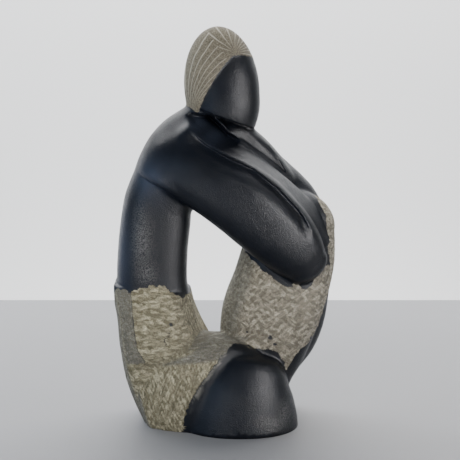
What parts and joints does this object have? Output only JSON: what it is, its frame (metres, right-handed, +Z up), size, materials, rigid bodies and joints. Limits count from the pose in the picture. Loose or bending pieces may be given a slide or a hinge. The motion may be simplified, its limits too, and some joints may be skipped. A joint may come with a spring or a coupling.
{
  "type": "stone seated figure",
  "caption": "Abstract seated figure carved from one dark stone, bent forward with both arms around a raised knee, smooth blank head, chiselled skirt and an open gap under the arms.",
  "frame": {"origin": "a point on the flat underside, under the figure's neck and close to its centre of mass", "axes": "+Z up through the head, +X the way the figure faces, towards the raised knee; the folded knee comes forward to -Y, the viewer's side in the picture"},
  "size_m": [0.1394, 0.0862, 0.2498],
  "materials": {
    "carved_stone": "black stone rubbed smooth and waxed on the skin, left pale grey-tan from the chisel on skirt and hair"
  },
  "bodies": {
    "root": {"seated_figure": "carved_stone"}
  },
  "joints": []
}
